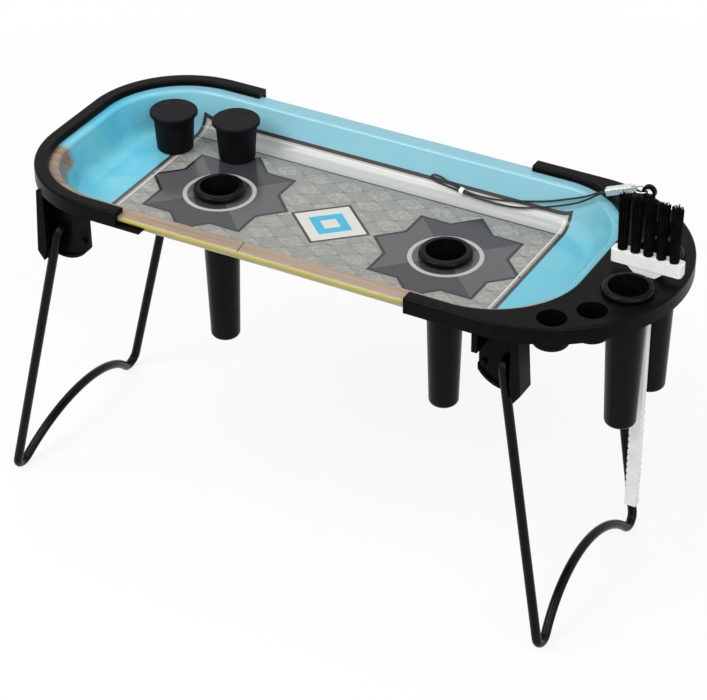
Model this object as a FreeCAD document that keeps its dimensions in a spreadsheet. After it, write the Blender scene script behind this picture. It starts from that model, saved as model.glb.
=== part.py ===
"""Folding-leg metal tray: pan, two moulded end frames, wire legs, hanging cups, stoppers, brush and lanyard."""
import FreeCAD
import Part
import math
import os
import re
import Sketcher
from FreeCAD import Placement, Rotation, Vector

# Driving sizes, in millimetres and degrees
SIZES = {
    "floor_height": 206.0,
    "sheet": 0.8,
    "pan_depth": 22.0,
    "rim_half_len": 177.0,
    "rim_half_wid": 82.3,
    "rim_corner": 59.5,
    "flange_w": 11.4,
    "wall_run": 9.5,
    "rim_bead": 4.2,
    "floor_round": 11.0,
    "bend_round": 2.5,
    "cup_spacing": 153.0,
    "fit_gap": 0.3,
    "hole_gap": 0.35,
    "skirt_wall": 3.0,
    "lip_thick": 3.5,
    "lip_reach": 5.5,
    "lower_lip": 1.5,
    "frame_reach": 83.0,
    "tongue_len": 16.0,
    "edge_round": 1.6,
    "shelf_offset": 20.3,
    "hollow_offset": 8.2,
    "hollow_wall": 2.0,
    "socket_bore": 17.0,
    "socket_depth": 14.2,
    "socket_wall": 2.0,
    "socket_outer_gap": 1.8,
    "socket_outer_angle": 36.73,
    "socket_inner_gap": 8.1,
    "socket_inner_angle": 19.04,
    "end_cup_inset": 21.2,
    "end_cup_angle": 18.7,
    "cup_recess": 0.8,
    "recess_gap": 0.7,
    "pivot_inset": 29.5,
    "pivot_drop": 10.0,
    "wire_dia": 5.8,
    "pin_play": 0.06,
    "leg_inset": 13.0,
    "pin_bend": 5.9,
    "pin_length": 7.0,
    "foot_bend": 7.0,
    "arch_rise": 26.0,
    "left_stance": 14.3,
    "right_stance": 8.3,
    "stop_angle": 14.3,
    "plate_thick": 3.4,
    "plate_radius": 21.0,
    "bracket_inner": 17.5,
    "column_wall": 3.5,
    "column_room": 1.8,
    "bracket_depth": 13.5,
    "stop_reach": 6.3,
    "stop_wall": 4.3,
    "stop_drop": 21.5,
    "stop_heel": 6.0,
    "bracket_bead_w": 2.0,
    "bracket_bead_h": 1.5,
    "detent_back": 14.4,
    "detent_drop": 6.8,
    "detent_dia": 4.0,
    "detent_h": 2.0,
    "cup_rim_dia": 32.0,
    "cup_rim_h": 4.4,
    "cup_top_dia": 24.0,
    "cup_tip_dia": 18.4,
    "cup_depth": 103.0,
    "cup_wall": 1.9,
    "cup_floor": 2.0,
    "cup_tip_round": 3.0,
    "funnel_h": 4.0,
    "end_rim_dia": 29.6,
    "end_rim_h": 4.0,
    "end_top_dia": 23.8,
    "end_tip_dia": 18.6,
    "end_depth": 88.0,
    "stopper_flange_dia": 29.7,
    "stopper_flange_h": 2.2,
    "stopper_top_dia": 25.6,
    "stopper_tip_dia": 22.6,
    "stopper_h": 26.0,
    "stopper_round": 1.2,
    "stopper_left_end": 47.5,
    "stopper_left_side": 48.3,
    "stopper_right_end": 87.5,
    "stopper_right_side": 40.3,
    "brush_inset": 22.4,
    "handle_w": 7.0,
    "handle_d": 5.4,
    "handle_len": 160.0,
    "slot_gap": 0.4,
    "neck_w": 12.0,
    "neck_top_w": 22.0,
    "neck_h": 4.4,
    "head_len": 42.0,
    "head_d": 8.0,
    "head_h": 7.4,
    "head_round": 2.0,
    "ridge_dia": 2.2,
    "ridge_bite": 0.6,
    "ridge_pitch": 4.5,
    "ridge_count": 15,
    "tuft_count": 5,
    "tuft_pitch": 7.7,
    "tuft_dia": 4.6,
    "tuft_tip_dia": 7.4,
    "tuft_len": 35.0,
    "tuft_socket": 4.0,
    "tuft_play": 0.1,
    "plug_dia": 16.2,
    "plug_h": 14.0,
    "plug_neck_dia": 7.4,
    "eyelet_rise": 11.0,
    "eyelet_dia": 8.6,
    "eyelet_bore": 4.6,
    "eyelet_thick": 2.6,
    "ring_dia": 8.0,
    "ring_wire": 1.1,
    "crimp_len": 16.0,
    "crimp_w": 5.0,
    "crimp_h": 4.2,
    "crimp_round": 0.6,
    "crimp_pitch": 19.0,
    "crimp_yaw": 9.0,
    "cord_dia": 1.2,
    "bead_dia": 4.2,
    "bead_len": 2.6,
    "bead_bore": 3.0,
}

# Sizes that follow from the driving ones
DERIVED = {
    "flange_z": "floor_height + pan_depth",
    "pan_under_z": "floor_height - sheet",
    "rim_corner_x": "rim_half_len - rim_corner",
    "rim_corner_y": "rim_half_wid - rim_corner",
    "bend_len": "rim_half_len - flange_w",
    "bend_wid": "rim_half_wid - flange_w",
    "bend_corner": "rim_corner - flange_w",
    "foot_len": "bend_len - wall_run",
    "foot_wid": "bend_wid - wall_run",
    "foot_corner": "bend_corner - wall_run",
    "bend_out_len": "bend_len + sheet",
    "bend_out_wid": "bend_wid + sheet",
    "bend_out_corner": "bend_corner + sheet",
    "foot_out_len": "foot_len + sheet",
    "foot_out_wid": "foot_wid + sheet",
    "foot_out_corner": "foot_corner + sheet",
    "floor_round_out": "floor_round + sheet",
    "wall_len": "sqrt(wall_run ^ 2 + pan_depth ^ 2)",
    "wall_cos": "wall_run / wall_len",
    "wall_sin": "pan_depth / wall_len",
    "half_tan": "wall_sin / (1 + wall_cos)",
    "floor_tan": "floor_round * half_tan",
    "bend_tan": "bend_round * half_tan",
    "bend_under_r": "bend_round - sheet",
    "floor_edge_len": "foot_len - floor_tan",
    "floor_edge_wid": "foot_wid - floor_tan",
    "floor_edge_corner": "foot_corner - floor_tan",
    "wall_low_y": "foot_wid + floor_tan * wall_cos",
    "wall_low_z": "floor_height + floor_tan * wall_sin",
    "wall_top_y": "bend_wid - bend_tan * wall_cos",
    "wall_top_z": "flange_z - bend_tan * wall_sin",
    "under_low_y": "wall_low_y + sheet * wall_sin",
    "under_low_z": "wall_low_z - sheet * wall_cos",
    "under_top_y": "wall_top_y + sheet * wall_sin",
    "under_top_z": "wall_top_z - sheet * wall_cos",
    "bend_end_y": "bend_wid + bend_tan",
    "flange_under_z": "flange_z - sheet",
    "rim_roll": "rim_bead / 2",
    "roll_y": "rim_half_wid - rim_roll",
    "roll_z": "flange_z - rim_roll",
    "hem_y": "rim_half_wid - rim_bead",
    "hem_z": "flange_z - rim_bead",
    "seat_len": "bend_out_len + fit_gap",
    "seat_wid": "bend_out_wid + fit_gap",
    "seat_corner": "bend_out_corner + fit_gap",
    "seat_foot_len": "foot_out_len + fit_gap",
    "seat_foot_wid": "foot_out_wid + fit_gap",
    "seat_foot_corner": "foot_out_corner + fit_gap",
    "seat_foot_z": "pan_under_z - fit_gap",
    "seat_top_z": "flange_z - fit_gap",
    "cup_x": "cup_spacing / 2",
    "pan_hole_r": "cup_top_dia / 2 + hole_gap",
    "hole_cut_h": "pan_depth + sheet * 2",
    "channel_len": "rim_half_len + fit_gap",
    "channel_wid": "rim_half_wid + fit_gap",
    "channel_corner": "rim_corner + fit_gap",
    "channel_top_z": "flange_z + fit_gap",
    "channel_bot_z": "flange_z - rim_bead - fit_gap",
    "channel_h": "channel_top_z - channel_bot_z",
    "frame_top_z": "channel_top_z + lip_thick",
    "frame_bot_z": "channel_bot_z - lower_lip",
    "frame_h": "frame_top_z - frame_bot_z",
    "frame_len": "channel_len + skirt_wall",
    "frame_wid": "channel_wid + skirt_wall",
    "frame_corner": "channel_corner + skirt_wall",
    "frame_corner_x": "frame_len - frame_corner",
    "frame_corner_y": "frame_wid - frame_corner",
    "open_len": "rim_half_len - lip_reach",
    "open_wid": "rim_half_wid - lip_reach",
    "open_corner": "rim_corner - lip_reach",
    "open_depth": "frame_top_z - channel_bot_z",
    "frame_end": "rim_half_len - frame_reach",
    "tongue_end": "frame_end - tongue_len",
    "tongue_in": "channel_wid - rim_bead - skirt_wall",
    "shelf_x": "rim_corner_x + shelf_offset",
    "shelf_tip_x": "shelf_x + frame_wid",
    "hollow_x": "shelf_x + hollow_offset",
    "brush_x": "shelf_tip_x - brush_inset",
    "hollow_r": "frame_wid - skirt_wall",
    "hollow_tip_x": "shelf_x + hollow_r",
    "hollow_out_y": "sqrt(hollow_r ^ 2 - (hollow_x - shelf_x) ^ 2)",
    "hollow_in_r": "channel_corner + hollow_wall",
    "hollow_in_x": "channel_len + hollow_wall",
    "hollow_in_y": "rim_corner_y + sqrt(hollow_in_r ^ 2 - (hollow_x - rim_corner_x) ^ 2)",
    "hollow_h": "frame_top_z - lip_thick - frame_bot_z",
    "hollow_top_z": "frame_top_z - lip_thick",
    "socket_r": "socket_bore / 2",
    "socket_out_r": "socket_r + socket_wall",
    "socket_floor_z": "frame_top_z - socket_depth",
    "socket_bot_z": "socket_floor_z - socket_wall",
    "socket_h": "socket_depth + socket_wall - lip_thick / 2",
    "socket_outer_ring": "channel_corner + socket_outer_gap + socket_r",
    "socket_inner_ring": "channel_corner + socket_inner_gap + socket_r",
    "outer_socket_x": "rim_corner_x + socket_outer_ring * cos(socket_outer_angle * 1 deg)",
    "outer_socket_y": "rim_corner_y + socket_outer_ring * sin(socket_outer_angle * 1 deg)",
    "inner_socket_x": "rim_corner_x + socket_inner_ring * cos(socket_inner_angle * 1 deg)",
    "inner_socket_y": "rim_corner_y + socket_inner_ring * sin(socket_inner_angle * 1 deg)",
    "end_cup_ring": "frame_wid - end_cup_inset",
    "end_cup_x": "shelf_x + end_cup_ring * cos(end_cup_angle * 1 deg)",
    "end_cup_y": "end_cup_ring * sin(end_cup_angle * 1 deg)",
    "end_hole_r": "end_top_dia / 2 + hole_gap",
    "end_recess_r": "end_rim_dia / 2 + recess_gap",
    "slot_half_len": "handle_w / 2 + slot_gap",
    "slot_half_wid": "handle_d / 2 + slot_gap",
    "slot_in_x": "brush_x - slot_half_len",
    "slot_out_x": "brush_x + slot_half_len",
    "wire_r": "wire_dia / 2",
    "pivot_x": "rim_half_len - pivot_inset",
    "leg_half_wid": "rim_half_wid - leg_inset",
    "pivot_z": "floor_height - pivot_drop",
    "pin_bore_r": "wire_r + pin_play",
    "left_leg_len": "(pivot_z - wire_r) / cos(left_stance * 1 deg)",
    "right_leg_len": "(pivot_z - wire_r) / cos(right_stance * 1 deg)",
    "left_foot_x": "pivot_x + left_leg_len * sin(left_stance * 1 deg) + wire_r",
    "middle_x": "(shelf_tip_x - left_foot_x) / 2",
    "pin_start": "leg_half_wid - pin_bend",
    "pin_tip": "pin_start - pin_length",
    "plate_out": "pin_start - fit_gap / 2",
    "plate_in": "plate_out - plate_thick",
    "bracket_top_z": "frame_bot_z + lower_lip / 2",
    "bracket_in_x": "pivot_x - bracket_inner",
    "column_x": "bracket_in_x + column_wall",
    "column_bot_z": "pivot_z + wire_r + column_room",
    "column_h": "bracket_top_z - column_bot_z",
    "bracket_out": "plate_in + bracket_depth",
    "stop_slope": "tan(stop_angle * 1 deg)",
    "stop_shift": "(wire_r + fit_gap) / cos(stop_angle * 1 deg)",
    "stop_in_x": "pivot_x + stop_reach",
    "stop_out_x": "stop_in_x + stop_wall",
    "stop_knee_z": "pivot_z - (stop_reach - stop_shift) / stop_slope",
    "stop_tip_z": "pivot_z - stop_drop",
    "stop_tip_x": "pivot_x + stop_shift + stop_drop * stop_slope",
    "stop_heel_x": "stop_tip_x + stop_wall",
    "stop_heel_z": "stop_tip_z + stop_heel",
    "plate_in_z": "pivot_z - sqrt(plate_radius ^ 2 - bracket_inner ^ 2)",
    "plate_tip_z": "pivot_z - sqrt(plate_radius ^ 2 - (stop_tip_x - pivot_x) ^ 2)",
    "rib_radius": "plate_radius - bracket_bead_w",
    "rib_in_z": "pivot_z - sqrt(rib_radius ^ 2 - bracket_inner ^ 2)",
    "rib_tip_z": "pivot_z - sqrt(rib_radius ^ 2 - (stop_tip_x - pivot_x) ^ 2)",
    "detent_x": "pivot_x - detent_back",
    "detent_z": "pivot_z - detent_drop",
    "detent_r": "detent_dia / 2",
    "cup_z": "floor_height + fit_gap",
    "end_cup_z": "frame_top_z - cup_recess + fit_gap",
    "handle_half": "handle_w / 2",
    "handle_z": "frame_top_z + fit_gap",
    "neck_half": "neck_w / 2",
    "neck_top_half": "neck_top_w / 2",
    "head_half": "head_len / 2",
    "head_side": "head_d / 2",
    "neck_side": "head_side - head_round / 4",
    "neck_d": "neck_side * 2",
    "head_top": "neck_h + head_h",
    "ridge_x": "handle_half + ridge_dia / 2 - ridge_bite",
    "ridge_r": "ridge_dia / 2",
    "ridge_start": "handle_len - ridge_pitch",
    "ridge_span": "ridge_pitch * (ridge_count - 1)",
    "tuft_hole_r": "tuft_dia / 2 + tuft_play",
    "tuft_first": "tuft_pitch * (tuft_count - 1) / 2",
    "tuft_span": "tuft_pitch * (tuft_count - 1)",
    "tuft_z": "handle_z + head_top - tuft_socket + tuft_play",
    "plug_r": "plug_dia / 2",
    "plug_neck_r": "plug_neck_dia / 2",
    "plug_z": "socket_floor_z + fit_gap",
    "eyelet_z": "frame_top_z + eyelet_rise - plug_z",
    "eyelet_r": "eyelet_dia / 2",
    "eyelet_bore_r": "eyelet_bore / 2",
    "eyelet_neck_z": "eyelet_z - eyelet_r * 0.8",
    "eyelet_side": "eyelet_thick / 2",
    "arch_radius": "((leg_half_wid - foot_bend) ^ 2 + (foot_bend - arch_rise) ^ 2 - foot_bend ^ 2) / (2 * arch_rise)",
    "blend": "foot_bend / (arch_radius + foot_bend)",
    "blend_y": "(leg_half_wid - foot_bend) * (1 - blend)",
    "left_foot_z": "foot_bend - left_leg_len",
    "left_blend_z": "arch_rise * blend - left_leg_len",
    "right_foot_z": "foot_bend - right_leg_len",
    "right_blend_z": "arch_rise * blend - right_leg_len",
    "stopper_left_x": "rim_half_len - stopper_left_end",
    "stopper_left_y": "rim_half_wid - stopper_left_side",
    "stopper_right_x": "rim_half_len - stopper_right_end",
    "stopper_right_y": "rim_half_wid - stopper_right_side",
    "stopper_tip_r": "stopper_tip_dia / 2",
    "stopper_tip_flat": "stopper_tip_r - stopper_round",
    "stopper_top_r": "stopper_top_dia / 2",
    "stopper_flange_r": "stopper_flange_dia / 2",
    "stopper_edge": "stopper_flange_h / 2",
    "stopper_flat": "stopper_flange_r - stopper_edge",
    "stopper_neck_z": "stopper_h - stopper_flange_h",
    "stopper_edge_z": "stopper_h - stopper_edge",
    "handle_side": "handle_d / 2",
    "ring_r": "ring_dia / 2",
    "ring_wire_r": "ring_wire / 2",
    "ring_x": "outer_socket_x - eyelet_bore_r + ring_wire_r + fit_gap * 2 - ring_r",
    "ring_z": "frame_top_z + eyelet_rise",
    "tab_x": "ring_x - ring_r",
    "tab_bore_r": "ring_wire_r + fit_gap + hole_gap / 2",
    "tab_r": "tab_bore_r + ring_wire_r * 1.5",
    "tab_side": "ring_wire_r",
    "crimp_start": "tab_r - crimp_round",
    "crimp_end": "crimp_start + crimp_len",
    "crimp_side": "crimp_w / 2",
    "crimp_half_h": "crimp_h / 2",
    "strand": "cord_dia * 0.62",
    "mouth_side": "strand + cord_dia / 2 + fit_gap",
    "mouth_half_h": "cord_dia / 2 + fit_gap",
    "mouth_depth": "crimp_len / 2",
    "bead_r": "bead_dia / 2",
    "bead_bore_r": "bead_bore / 2",
    "bead_half": "bead_len / 2",
}
for kind in ("cup", "end"):
    DERIVED.update({
        f"{kind}_rim_half": f"{kind}_rim_h / 2",
        f"{kind}_rim_r": f"{kind}_rim_dia / 2",
        f"{kind}_rim_flat": f"{kind}_rim_r - {kind}_rim_half",
        f"{kind}_top_r": f"{kind}_top_dia / 2",
        f"{kind}_tip_r": f"{kind}_tip_dia / 2",
        f"{kind}_bore_r": f"{kind}_top_r - cup_wall",
        f"{kind}_bore_tip_r": f"{kind}_tip_r - cup_wall",
        f"{kind}_mouth_r": f"({kind}_rim_flat + {kind}_bore_r) / 2",
        f"{kind}_tip_flat": f"{kind}_tip_r - cup_tip_round",
        f"{kind}_tip_z": f"cup_tip_round - {kind}_depth",
        f"{kind}_bore_z": f"cup_floor - {kind}_depth",
    })

doc = FreeCAD.newDocument("folding_tray")
sizes = doc.addObject("Spreadsheet::Sheet", "sizes")
for row, (alias, value) in enumerate(SIZES.items(), 1):
    sizes.set(f"A{row}", alias)
    sizes.set(f"B{row}", str(value))
    sizes.setAlias(f"B{row}", alias)
derived = doc.addObject("Spreadsheet::Sheet", "derived")
for row, (alias, formula) in enumerate(DERIVED.items(), 1):
    linked = re.sub(r"[a-z]\w*", lambda word: ("sizes." if word[0] in SIZES else "") + word[0], formula)
    derived.set(f"A{row}", alias)
    derived.set(f"B{row}", "=" + linked)
    derived.setAlias(f"B{row}", alias)
doc.recompute()


def num(ref):
    """Value of a named size, with an optional minus sign."""
    if ref == "0":
        return 0.0
    if ref.startswith("-"):
        return -num(ref[1:])
    return float((sizes if ref in SIZES else derived).get(ref))


def link(ref):
    """Expression that reads a named size."""
    if ref.startswith("-"):
        return "-" + link(ref[1:])
    return ("sizes." if ref in SIZES else "derived.") + ref


def new_body(name):
    body = doc.addObject("PartDesign::Body", name)
    body.Label = name
    return body


def new_sketch(body, name, plane="XY_Plane", offset="0"):
    sketch = body.newObject("Sketcher::SketchObject", name)
    base = next(item for item in body.Origin.OriginFeatures if item.Role == plane)
    sketch.AttachmentSupport = [(base, "")]
    sketch.MapMode = "FlatFace"
    if offset != "0":
        sketch.setExpression("AttachmentOffset.Base.z", link(offset))
    return sketch


def fix_point(sketch, geo, pos, x, y):
    for kind, axis, ref in (("DistanceX", -2, x), ("DistanceY", -1, y)):
        if ref == "0":
            sketch.addConstraint(Sketcher.Constraint("PointOnObject", geo, pos, axis))
        else:
            index = sketch.addConstraint(Sketcher.Constraint(kind, -1, 1, geo, pos, num(ref)))
            sketch.setExpression(f"Constraints[{index}]", link(ref))


def arc_between(start, end, radius, turn):
    """Minor arc whose centre lies left (turn 1) or right (turn -1) of the way from start to end."""
    chord = end - start
    half = chord.Length / 2
    rise = math.sqrt(max(radius ** 2 - half ** 2, 0.0))
    side = Vector(-chord.y, chord.x, 0).normalize() * turn
    centre = (start + end) * 0.5 + side * rise
    first, last = (start, end) if turn > 0 else (end, start)
    angles = [math.atan2(spot.y - centre.y, spot.x - centre.x) for spot in (first, last)]
    return Part.ArcOfCircle(Part.Circle(centre, Vector(0, 0, 1), radius), angles[0], angles[1])


def outline(sketch, corners, closed=True):
    """Lines and arcs through named corners; (x, y, radius, turn) starts an arc, (x, y) a line."""
    spots = [Vector(num(corner[0]), num(corner[1]), 0) for corner in corners]
    total = len(corners) if closed else len(corners) - 1
    first = sketch.GeometryCount
    for i in range(total):
        start, end = spots[i], spots[(i + 1) % len(spots)]
        if len(corners[i]) == 2:
            sketch.addGeometry(Part.LineSegment(start, end), False)
        else:
            sketch.addGeometry(arc_between(start, end, num(corners[i][2]), corners[i][3]), False)
    for i in range(total):
        backward = len(corners[i]) == 4 and corners[i][3] < 0
        head, tail = (1, 2) if backward else (2, 1)
        fix_point(sketch, first + i, tail, corners[i][0], corners[i][1])
        if i + 1 < total or closed:
            after = (i + 1) % total
            flipped = len(corners[after]) == 4 and corners[after][3] < 0
            joint = Sketcher.Constraint("Coincident", first + i, head, first + after, 2 if flipped else 1)
            sketch.addConstraint(joint)
        else:
            fix_point(sketch, first + i, head, corners[i + 1][0], corners[i + 1][1])
        if len(corners[i]) == 4:
            index = sketch.addConstraint(Sketcher.Constraint("Radius", first + i, num(corners[i][2])))
            sketch.setExpression(f"Constraints[{index}]", link(corners[i][2]))


def ring(sketch, x, y, radius):
    geo = sketch.addGeometry(Part.Circle(Vector(num(x), num(y), 0), Vector(0, 0, 1), num(radius)), False)
    fix_point(sketch, geo, 3, x, y)
    index = sketch.addConstraint(Sketcher.Constraint("Radius", geo, num(radius)))
    sketch.setExpression(f"Constraints[{index}]", link(radius))


def rounded(length, width, corner, corner_x, corner_y):
    """Corners of a rounded rectangle about the origin."""
    return [
        (corner_x, "-" + width, corner, 1), (length, "-" + corner_y),
        (length, corner_y, corner, 1), (corner_x, width),
        ("-" + corner_x, width, corner, 1), ("-" + length, corner_y),
        ("-" + length, "-" + corner_y, corner, 1), ("-" + corner_x, "-" + width),
    ]


def pan_outline(length, width, corner):
    return rounded(length, width, corner, "rim_corner_x", "rim_corner_y")


def box_outline(x_low, x_high, y_low, y_high):
    return [(x_low, y_low), (x_high, y_low), (x_high, y_high), (x_low, y_high)]


def extrude(body, kind, sketch, length, backward=False):
    feature = body.newObject("PartDesign::" + kind, kind + "_" + sketch.Name)
    feature.Profile = sketch
    feature.setExpression("Length", link(length))
    feature.Reversed = backward
    sketch.Visibility = False
    return feature


def drawn(body, kind, name, length, shapes, plane="XY_Plane", offset="0", backward=False):
    """Pad or pocket of closed outlines (lists of corners) and circles (x, y, radius tuples)."""
    sketch = new_sketch(body, name, plane, offset)
    for shape in shapes:
        if isinstance(shape, list):
            outline(sketch, shape)
        else:
            ring(sketch, *shape)
    return extrude(body, kind, sketch, length, backward)


def cut_check(body, label, before):
    """A cut that misses the solid leaves the volume as it was."""
    doc.recompute()
    if body.Shape.Volume > before - 1e-6:
        raise RuntimeError(f"{body.Label}: {label} cut nothing")


def loft(body, kind, name, low, low_z, high, high_z):
    sections = []
    for tag, corners, level in (("low", low, low_z), ("high", high, high_z)):
        sketch = new_sketch(body, f"{name}_{tag}", offset=level)
        outline(sketch, corners)
        sections.append(sketch)
    feature = body.newObject("PartDesign::" + kind, name)
    feature.Profile = sections[0]
    feature.Sections = [sections[1]]
    feature.Ruled = True
    return feature


def fillet(body, name, radius, wanted):
    """Round the edges of the body that a test picks."""
    doc.recompute()
    base = body.Tip
    picked = [f"Edge{i}" for i, edge in enumerate(base.Shape.Edges, 1) if wanted(edge)]
    feature = body.newObject("PartDesign::Fillet", name)
    feature.Base = (base, picked)
    feature.setExpression("Radius", link(radius))
    doc.recompute()


def level_edge(edge, level):
    box = edge.BoundBox
    return abs(box.ZMin - level) < 1e-4 and abs(box.ZMax - level) < 1e-4


def revolve(body, name, corners):
    sketch = new_sketch(body, name, "XZ_Plane")
    outline(sketch, corners)
    feature = body.newObject("PartDesign::Revolution", "turned_" + name)
    feature.Profile = sketch
    feature.ReferenceAxis = (sketch, ["V_Axis"])
    feature.Angle = 360.0
    return feature


def place(thing, x="0", y="0", z="0"):
    """Position in the part's frame, whose origin lies on the ground under the middle of the whole."""
    thing.setExpression("Placement.Base.x", ("" if x == "0" else link(x)) + " - derived.middle_x")
    for axis, ref in (("y", y), ("z", z)):
        if ref != "0":
            thing.setExpression("Placement.Base." + axis, link(ref))


def sweep(body, name, section, path, closed):
    """Section carried along a path of lines and arcs that starts in the section's plane."""
    line = new_sketch(body, name + "_line", *path[1:])
    outline(line, path[0], closed)
    profile = new_sketch(body, name + "_section", *section[1:])
    for shape in section[0]:
        if isinstance(shape, list):
            outline(profile, shape)
        else:
            ring(profile, *shape)
    doc.recompute()
    pipe = body.newObject("PartDesign::AdditivePipe", name)
    pipe.Profile = profile
    pipe.Spine = (line, [f"Edge{i + 1}" for i in range(line.GeometryCount)])
    doc.recompute()
    return pipe


# Tray pan: floor sheet, then wall, flange and rolled rim as one section carried round it, and two cup holes
pan = new_body("tray_pan")
wall_section = [
    ("-floor_edge_wid", "floor_height", "floor_round", -1), ("-wall_low_y", "wall_low_z"),
    ("-wall_top_y", "wall_top_z", "bend_round", 1), ("-bend_end_y", "flange_z"), ("-roll_y", "flange_z", "rim_roll", 1),
    ("-rim_half_wid", "roll_z", "rim_roll", 1), ("-roll_y", "hem_z", "rim_roll", 1), ("-hem_y", "roll_z"),
    ("-hem_y", "flange_under_z"), ("-bend_end_y", "flange_under_z", "bend_under_r", -1),
    ("-under_top_y", "under_top_z"), ("-under_low_y", "under_low_z", "floor_round_out", 1),
    ("-floor_edge_wid", "pan_under_z"),
]
rim_path = [("0", "-rim_half_wid")] + pan_outline("rim_half_len", "rim_half_wid", "rim_corner")
sweep(pan, "pan_wall", ([wall_section], "YZ_Plane"), (rim_path, "XY_Plane", "flange_z"), True)
drawn(pan, "Pad", "pan_floor", "sheet",
      [pan_outline("floor_edge_len", "floor_edge_wid", "floor_edge_corner")], offset="pan_under_z")
doc.recompute()
full = pan.Shape.Volume
drawn(pan, "Pocket", "cup_holes", "hole_cut_h",
      [("cup_x", "0", "pan_hole_r"), ("-cup_x", "0", "pan_hole_r")], offset="flange_z")
cut_check(pan, "cup_holes", full)
place(pan)


def cut_seat(body):
    """Room for the pan in an end frame: its tub, its rim channel and the opening above."""
    full = body.Shape.Volume
    loft(body, "SubtractiveLoft", body.Name + "_seat",
         pan_outline("seat_foot_len", "seat_foot_wid", "seat_foot_corner"), "seat_foot_z",
         pan_outline("seat_len", "seat_wid", "seat_corner"), "seat_top_z")
    drawn(body, "Pocket", body.Name + "_channel", "channel_h",
          [pan_outline("channel_len", "channel_wid", "channel_corner")], offset="channel_top_z")
    drawn(body, "Pocket", body.Name + "_opening", "open_depth",
          [pan_outline("open_len", "open_wid", "open_corner")], offset="frame_top_z")
    cut_check(body, "pan seat", full)


def add_brackets(body, side):
    """Front and rear leg brackets: plate, stop wall, inner column, rib and detent; then the pin holes."""
    turn = 1 if side == "" else -1

    def at(name):
        return side + name

    plate = [(at("bracket_in_x"), "bracket_top_z"), (at("bracket_in_x"), "plate_in_z", "plate_radius", turn),
             (at("stop_tip_x"), "plate_tip_z"), (at("stop_tip_x"), "bracket_top_z")]
    stop = [(at("stop_in_x"), "bracket_top_z"), (at("stop_in_x"), "stop_knee_z"), (at("stop_tip_x"), "stop_tip_z"),
            (at("stop_heel_x"), "stop_heel_z"), (at("stop_out_x"), "bracket_top_z")]
    rib = [(at("bracket_in_x"), "plate_in_z", "plate_radius", turn), (at("stop_tip_x"), "plate_tip_z"),
           (at("stop_tip_x"), "rib_tip_z", "rib_radius", -turn), (at("bracket_in_x"), "rib_in_z")]
    for end, near in (("front", ""), ("rear", "-")):
        back = near == "-"
        tag = f"{body.Name}_{end}"
        drawn(body, "Pad", tag + "_plate", "plate_thick", [plate], "XZ_Plane", near + "plate_in", back)
        drawn(body, "Pad", tag + "_stop", "bracket_depth", [stop], "XZ_Plane", near + "plate_in", back)
        drawn(body, "Pad", tag + "_rib", "bracket_bead_h", [rib], "XZ_Plane", near + "plate_out", back)
        drawn(body, "Pad", tag + "_detent", "detent_h",
              [(at("detent_x"), "detent_z", "detent_r")], "XZ_Plane", near + "plate_out", back)
        far = "-" if near == "" else ""
        drawn(body, "Pad", tag + "_column", "column_h",
              [box_outline(at("bracket_in_x"), at("column_x"), far + "plate_in", far + "bracket_out")],
              offset="column_bot_z")
    doc.recompute()


def cut_pin_holes(body, side):
    full = body.Shape.Volume
    for end, near in (("front", ""), ("rear", "-")):
        drawn(body, "Pocket", f"{body.Name}_{end}_pin_hole", "bracket_depth",
              [(side + "pivot_x", "pivot_z", "pin_bore_r")], "XZ_Plane", near + "bracket_out", near == "-")
        cut_check(body, end + " pin hole", full)
        full = body.Shape.Volume


def top_edge(edge):
    """Long edges of a frame's top face."""
    size = edge.Curve.Radius if isinstance(edge.Curve, Part.Circle) else edge.Length
    return level_edge(edge, num("frame_top_z")) and size > num("end_recess_r") * 1.5


# Left end frame: channel round the pan's end, a short tongue under the front rim and two brackets
left = new_body("left_end_frame")
drawn(left, "Pad", "left_ring", "frame_h", [[
    ("-frame_end", "frame_wid"), ("-frame_corner_x", "frame_wid", "frame_corner", 1),
    ("-frame_len", "frame_corner_y"), ("-frame_len", "-frame_corner_y", "frame_corner", 1),
    ("-frame_corner_x", "-frame_wid"), ("-frame_end", "-frame_wid")]], offset="frame_bot_z")
drawn(left, "Pad", "left_tongue", "lower_lip",
      [box_outline("-frame_end", "-tongue_end", "-frame_wid", "-tongue_in")], offset="frame_bot_z")
add_brackets(left, "-")
cut_seat(left)
cut_pin_holes(left, "-")
fillet(left, "left_edge_round", "edge_round", top_edge)
place(left)

# Right end frame: the same channel with a round shelf for cups, small sockets and the brush
right = new_body("right_end_frame")
drawn(right, "Pad", "right_ring", "frame_h", [[
    ("frame_end", "-frame_wid"), ("shelf_x", "-frame_wid", "frame_wid", 1), ("shelf_tip_x", "0", "frame_wid", 1),
    ("shelf_x", "frame_wid"), ("frame_end", "frame_wid")]], offset="frame_bot_z")
doc.recompute()
full = right.Shape.Volume
drawn(right, "Pocket", "shelf_hollow", "hollow_h", [[
    ("hollow_x", "-hollow_out_y", "hollow_r", 1), ("hollow_tip_x", "0", "hollow_r", 1),
    ("hollow_x", "hollow_out_y"), ("hollow_x", "hollow_in_y", "hollow_in_r", -1),
    ("hollow_in_x", "rim_corner_y"), ("hollow_in_x", "-rim_corner_y", "hollow_in_r", -1),
    ("hollow_x", "-hollow_in_y")]], offset="hollow_top_z")
cut_check(right, "shelf_hollow", full)
SOCKETS = [(x, sign + y) for x, y in (("outer_socket_x", "outer_socket_y"), ("inner_socket_x", "inner_socket_y"))
           for sign in ("", "-")]
drawn(right, "Pad", "socket_walls", "socket_h",
      [(x, y, "socket_out_r") for x, y in SOCKETS], offset="socket_bot_z")
fillet(right, "socket_round", "socket_wall", lambda edge: level_edge(edge, num("socket_bot_z")))
add_brackets(right, "")
cut_seat(right)
cut_pin_holes(right, "")
full = right.Shape.Volume
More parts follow.
